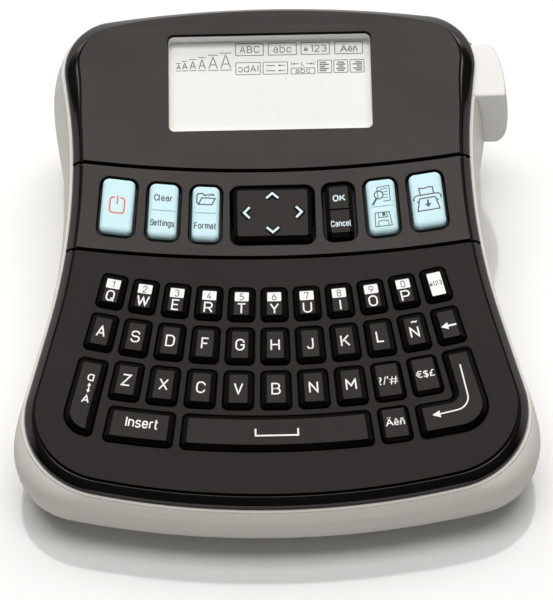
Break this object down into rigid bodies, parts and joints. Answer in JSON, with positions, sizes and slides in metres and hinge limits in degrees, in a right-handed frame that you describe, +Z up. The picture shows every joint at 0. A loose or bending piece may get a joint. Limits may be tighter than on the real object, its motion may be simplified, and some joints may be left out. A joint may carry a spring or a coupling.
{
  "type": "label maker",
  "caption": "Handheld label maker with a curved QWERTY keyboard, cursor pad, recessed display, side cutter button, and battery and cassette doors underneath.",
  "frame": {"origin": "on the table under the middle of the body, at the bottom of the rubber feet", "axes": "+X to the right of someone typing, +Y to the display end, +Z up"},
  "size_m": [0.1472, 0.1614, 0.0558],
  "materials": {
    "case_silver": "fine metallic silver paint over moulded plastic",
    "cover_charcoal": "fine-grained moulded plastic, satin",
    "cover_black": "spark-grained moulded plastic",
    "lcd_glass": "reflective display behind a clear sheet",
    "board_green": "printed board with solder mask",
    "mat_silicone": "moulded silicone",
    "cassette_ivory": "moulded plastic",
    "cell_jacket": null,
    "chassis_steel": "pressed zinc-plated steel",
    "foot_rubber": "moulded rubber",
    "button_silver": "moulded plastic, light silver paint",
    "blade_steel": "ground steel",
    "door_charcoal": "spark-grained moulded plastic",
    "key_black": "polished moulded plastic",
    "key_blue": "polished moulded plastic",
    "key_dark": "satin face with polished flanks",
    "platen_rubber": "ground rubber roller"
  },
  "bodies": {
    "case": {"base_shell": "case_silver", "display_cover": "cover_charcoal", "function_panel": "cover_black", "keyboard_panel": "cover_black", "lcd_module": "lcd_glass", "circuit_board": "board_green", "key_mat": "mat_silicone", "label_cassette": "cassette_ivory", "batteries": "cell_jacket", "print_head": "chassis_steel", "rubber_feet": "foot_rubber"},
    "cutter": {"cutter_button": "button_silver", "cutter_blade": "blade_steel"},
    "cassette_door": {"cassette_door": "door_charcoal"},
    "battery_cover": {"battery_cover": "door_charcoal"},
    "nav_pivot": {"nav_pivot": "blade_steel"},
    "nav_pad": {"button_nav_pad": "key_black"},
    "clear_settings": {"button_clear_settings": "key_blue"},
    "open_format": {"button_open_format": "key_blue"},
    "ok_cancel": {"button_ok_cancel": "key_black"},
    "preview_save": {"button_preview_save": "key_blue"},
    "platen": {"platen_roller": "platen_rubber"},
    "power": {"button_power": "key_blue"},
    "print": {"button_print": "key_blue"},
    "key_q": {"key_q": "key_dark"},
    "key_w": {"key_w": "key_dark"},
    "key_e": {"key_e": "key_dark"},
    "key_r": {"key_r": "key_dark"},
    "key_t": {"key_t": "key_dark"},
    "key_y": {"key_y": "key_dark"},
    "key_u": {"key_u": "key_dark"},
    "key_i": {"key_i": "key_dark"},
    "key_o": {"key_o": "key_dark"},
    "key_p": {"key_p": "key_dark"},
    "key_num_lock": {"key_num_lock": "key_dark"},
    "key_a": {"key_a": "key_dark"},
    "key_s": {"key_s": "key_dark"},
    "key_d": {"key_d": "key_dark"},
    "key_f": {"key_f": "key_dark"},
    "key_g": {"key_g": "key_dark"},
    "key_h": {"key_h": "key_dark"},
    "key_j": {"key_j": "key_dark"},
    "key_k": {"key_k": "key_dark"},
    "key_l": {"key_l": "key_dark"},
    "key_n_tilde": {"key_n_tilde": "key_dark"},
    "key_backspace": {"key_backspace": "key_dark"},
    "key_caps": {"key_caps": "key_dark"},
    "key_z": {"key_z": "key_dark"},
    "key_x": {"key_x": "key_dark"},
    "key_c": {"key_c": "key_dark"},
    "key_v": {"key_v": "key_dark"},
    "key_b": {"key_b": "key_dark"},
    "key_n": {"key_n": "key_dark"},
    "key_m": {"key_m": "key_dark"},
    "key_symbols": {"key_symbols": "key_dark"},
    "key_currency": {"key_currency": "key_dark"},
    "key_enter": {"key_enter": "key_dark"},
    "key_insert": {"key_insert": "key_dark"},
    "key_space": {"key_space": "key_dark"},
    "key_accents": {"key_accents": "key_dark"}
  },
  "joints": [
    {"name": "cutter_press", "type": "slide", "parent": "case", "child": "cutter", "axis": [-1, 0, 0], "range_m": [0, 0.006], "stiffness_N_per_m": 300, "springref_m": -0.002},
    {"name": "cassette_door_hinge", "type": "hinge", "parent": "case", "child": "cassette_door", "pos_m": [0.007, 0.0361, 0.0023], "axis": [-1, 0, 0], "range_deg": [0, 75]},
    {"name": "battery_cover_hinge", "type": "hinge", "parent": "case", "child": "battery_cover", "pos_m": [0, -0.01875, 0.0023], "axis": [-1, 0, 0], "range_deg": [0, 75]},
    {"name": "nav_tilt_x", "type": "hinge", "parent": "case", "child": "nav_pivot", "pos_m": [0, 0.0153, 0.03046], "axis": [1, 0, 0], "range_deg": [-3, 3], "stiffness_Nm_per_rad": 0.06},
    {"name": "nav_tilt_y", "type": "hinge", "parent": "nav_pivot", "child": "nav_pad", "pos_m": [0, 0.0153, 0.03046], "axis": [0, 0.968, 0.2508], "range_deg": [-3, 3], "stiffness_Nm_per_rad": 0.06},
    {"name": "clear_settings_rock", "type": "hinge", "parent": "case", "child": "clear_settings", "pos_m": [-0.0316, 0.01641, 0.03333], "axis": [1, 0, 0], "range_deg": [-3.5, 3.5], "stiffness_Nm_per_rad": 0.05},
    {"name": "open_format_rock", "type": "hinge", "parent": "case", "child": "open_format", "pos_m": [-0.0193, 0.01532, 0.03304], "axis": [1, 0, 0], "range_deg": [-3.5, 3.5], "stiffness_Nm_per_rad": 0.05},
    {"name": "ok_cancel_rock", "type": "hinge", "parent": "case", "child": "ok_cancel", "pos_m": [0.0193, 0.01532, 0.03304], "axis": [1, 0, 0], "range_deg": [-3.5, 3.5], "stiffness_Nm_per_rad": 0.05},
    {"name": "preview_save_rock", "type": "hinge", "parent": "case", "child": "preview_save", "pos_m": [0.0316, 0.01641, 0.03333], "axis": [1, 0, 0], "range_deg": [-3.5, 3.5], "stiffness_Nm_per_rad": 0.05},
    {"name": "platen_spin", "type": "hinge", "parent": "case", "child": "platen", "pos_m": [0.0385, 0.0526, 0.0134], "axis": [0, 0, 1], "continuous": true},
    {"name": "power_press", "type": "slide", "parent": "case", "child": "power", "axis": [0, 0.2572, -0.9664], "range_m": [0, 0.001], "stiffness_N_per_m": 400, "springref_m": -0.0005},
    {"name": "print_press", "type": "slide", "parent": "case", "child": "print", "axis": [0, 0.2572, -0.9664], "range_m": [0, 0.001], "stiffness_N_per_m": 400, "springref_m": -0.0005},
    {"name": "key_q_press", "type": "slide", "parent": "case", "child": "key_q", "axis": [0, 0.2082, -0.9781], "range_m": [0, 0.0012], "stiffness_N_per_m": 400, "springref_m": -0.0005},
    {"name": "key_w_press", "type": "slide", "parent": "case", "child": "key_w", "axis": [0, 0.2048, -0.9788], "range_m": [0, 0.0012], "stiffness_N_per_m": 400, "springref_m": -0.0005},
    {"name": "key_e_press", "type": "slide", "parent": "case", "child": "key_e", "axis": [0, 0.2021, -0.9794], "range_m": [0, 0.0012], "stiffness_N_per_m": 400, "springref_m": -0.0005},
    {"name": "key_r_press", "type": "slide", "parent": "case", "child": "key_r", "axis": [0, 0.2002, -0.9798], "range_m": [0, 0.0012], "stiffness_N_per_m": 400, "springref_m": -0.0005},
    {"name": "key_t_press", "type": "slide", "parent": "case", "child": "key_t", "axis": [0, 0.1991, -0.98], "range_m": [0, 0.0012], "stiffness_N_per_m": 400, "springref_m": -0.0005},
    {"name": "key_y_press", "type": "slide", "parent": "case", "child": "key_y", "axis": [0, 0.1987, -0.9801], "range_m": [0, 0.0012], "stiffness_N_per_m": 400, "springref_m": -0.0005},
    {"name": "key_u_press", "type": "slide", "parent": "case", "child": "key_u", "axis": [0, 0.1991, -0.98], "range_m": [0, 0.0012], "stiffness_N_per_m": 400, "springref_m": -0.0005},
    {"name": "key_i_press", "type": "slide", "parent": "case", "child": "key_i", "axis": [0, 0.2002, -0.9798], "range_m": [0, 0.0012], "stiffness_N_per_m": 400, "springref_m": -0.0005},
    {"name": "key_o_press", "type": "slide", "parent": "case", "child": "key_o", "axis": [0, 0.2021, -0.9794], "range_m": [0, 0.0012], "stiffness_N_per_m": 400, "springref_m": -0.0005},
    {"name": "key_p_press", "type": "slide", "parent": "case", "child": "key_p", "axis": [0, 0.2048, -0.9788], "range_m": [0, 0.0012], "stiffness_N_per_m": 400, "springref_m": -0.0005},
    {"name": "key_num_lock_press", "type": "slide", "parent": "case", "child": "key_num_lock", "axis": [0, 0.2082, -0.9781], "range_m": [0, 0.0012], "stiffness_N_per_m": 400, "springref_m": -0.0005},
    {"name": "key_a_press", "type": "slide", "parent": "case", "child": "key_a", "axis": [0, 0.1844, -0.9828], "range_m": [0, 0.0012], "stiffness_N_per_m": 400, "springref_m": -0.0005},
    {"name": "key_s_press", "type": "slide", "parent": "case", "child": "key_s", "axis": [0, 0.1808, -0.9835], "range_m": [0, 0.0012], "stiffness_N_per_m": 400, "springref_m": -0.0005},
    {"name": "key_d_press", "type": "slide", "parent": "case", "child": "key_d", "axis": [0, 0.178, -0.984], "range_m": [0, 0.0012], "stiffness_N_per_m": 400, "springref_m": -0.0005},
    {"name": "key_f_press", "type": "slide", "parent": "case", "child": "key_f", "axis": [0, 0.176, -0.9844], "range_m": [0, 0.0012], "stiffness_N_per_m": 400, "springref_m": -0.0005},
    {"name": "key_g_press", "type": "slide", "parent": "case", "child": "key_g", "axis": [0, 0.1748, -0.9846], "range_m": [0, 0.0012], "stiffness_N_per_m": 400, "springref_m": -0.0005},
    {"name": "key_h_press", "type": "slide", "parent": "case", "child": "key_h", "axis": [0, 0.1744, -0.9847], "range_m": [0, 0.0012], "stiffness_N_per_m": 400, "springref_m": -0.0005},
    {"name": "key_j_press", "type": "slide", "parent": "case", "child": "key_j", "axis": [0, 0.1748, -0.9846], "range_m": [0, 0.0012], "stiffness_N_per_m": 400, "springref_m": -0.0005},
    {"name": "key_k_press", "type": "slide", "parent": "case", "child": "key_k", "axis": [0, 0.176, -0.9844], "range_m": [0, 0.0012], "stiffness_N_per_m": 400, "springref_m": -0.0005},
    {"name": "key_l_press", "type": "slide", "parent": "case", "child": "key_l", "axis": [0, 0.178, -0.984], "range_m": [0, 0.0012], "stiffness_N_per_m": 400, "springref_m": -0.0005},
    {"name": "key_n_tilde_press", "type": "slide", "parent": "case", "child": "key_n_tilde", "axis": [0, 0.1808, -0.9835], "range_m": [0, 0.0012], "stiffness_N_per_m": 400, "springref_m": -0.0005},
    {"name": "key_backspace_press", "type": "slide", "parent": "case", "child": "key_backspace", "axis": [0, 0.1844, -0.9828], "range_m": [0, 0.0012], "stiffness_N_per_m": 400, "springref_m": -0.0005},
    {"name": "key_caps_press", "type": "slide", "parent": "case", "child": "key_caps", "axis": [0, 0.1473, -0.9891], "range_m": [0, 0.0012], "stiffness_N_per_m": 400, "springref_m": -0.0005},
    {"name": "key_z_press", "type": "slide", "parent": "case", "child": "key_z", "axis": [0, 0.1555, -0.9878], "range_m": [0, 0.0012], "stiffness_N_per_m": 400, "springref_m": -0.0005},
    {"name": "key_x_press", "type": "slide", "parent": "case", "child": "key_x", "axis": [0, 0.1525, -0.9883], "range_m": [0, 0.0012], "stiffness_N_per_m": 400, "springref_m": -0.0005},
    {"name": "key_c_press", "type": "slide", "parent": "case", "child": "key_c", "axis": [0, 0.1503, -0.9886], "range_m": [0, 0.0012], "stiffness_N_per_m": 400, "springref_m": -0.0005},
    {"name": "key_v_press", "type": "slide", "parent": "case", "child": "key_v", "axis": [0, 0.149, -0.9888], "range_m": [0, 0.0012], "stiffness_N_per_m": 400, "springref_m": -0.0005},
    {"name": "key_b_press", "type": "slide", "parent": "case", "child": "key_b", "axis": [0, 0.1486, -0.9889], "range_m": [0, 0.0012], "stiffness_N_per_m": 400, "springref_m": -0.0005},
    {"name": "key_n_press", "type": "slide", "parent": "case", "child": "key_n", "axis": [0, 0.149, -0.9888], "range_m": [0, 0.0012], "stiffness_N_per_m": 400, "springref_m": -0.0005},
    {"name": "key_m_press", "type": "slide", "parent": "case", "child": "key_m", "axis": [0, 0.1503, -0.9886], "range_m": [0, 0.0012], "stiffness_N_per_m": 400, "springref_m": -0.0005},
    {"name": "key_symbols_press", "type": "slide", "parent": "case", "child": "key_symbols", "axis": [0, 0.1525, -0.9883], "range_m": [0, 0.0012], "stiffness_N_per_m": 400, "springref_m": -0.0005},
    {"name": "key_currency_press", "type": "slide", "parent": "case", "child": "key_currency", "axis": [0, 0.1555, -0.9878], "range_m": [0, 0.0012], "stiffness_N_per_m": 400, "springref_m": -0.0005},
    {"name": "key_enter_press", "type": "slide", "parent": "case", "child": "key_enter", "axis": [0, 0.1473, -0.9891], "range_m": [0, 0.0012], "stiffness_N_per_m": 400, "springref_m": -0.0005},
    {"name": "key_insert_press", "type": "slide", "parent": "case", "child": "key_insert", "axis": [0, 0.1285, -0.9917], "range_m": [0, 0.0012], "stiffness_N_per_m": 400, "springref_m": -0.0005},
    {"name": "key_space_press", "type": "slide", "parent": "case", "child": "key_space", "axis": [0, 0.1232, -0.9924], "range_m": [0, 0.0012], "stiffness_N_per_m": 400, "springref_m": -0.0005},
    {"name": "key_accents_press", "type": "slide", "parent": "case", "child": "key_accents", "axis": [0, 0.1272, -0.9919], "range_m": [0, 0.0012], "stiffness_N_per_m": 400, "springref_m": -0.0005}
  ]
}
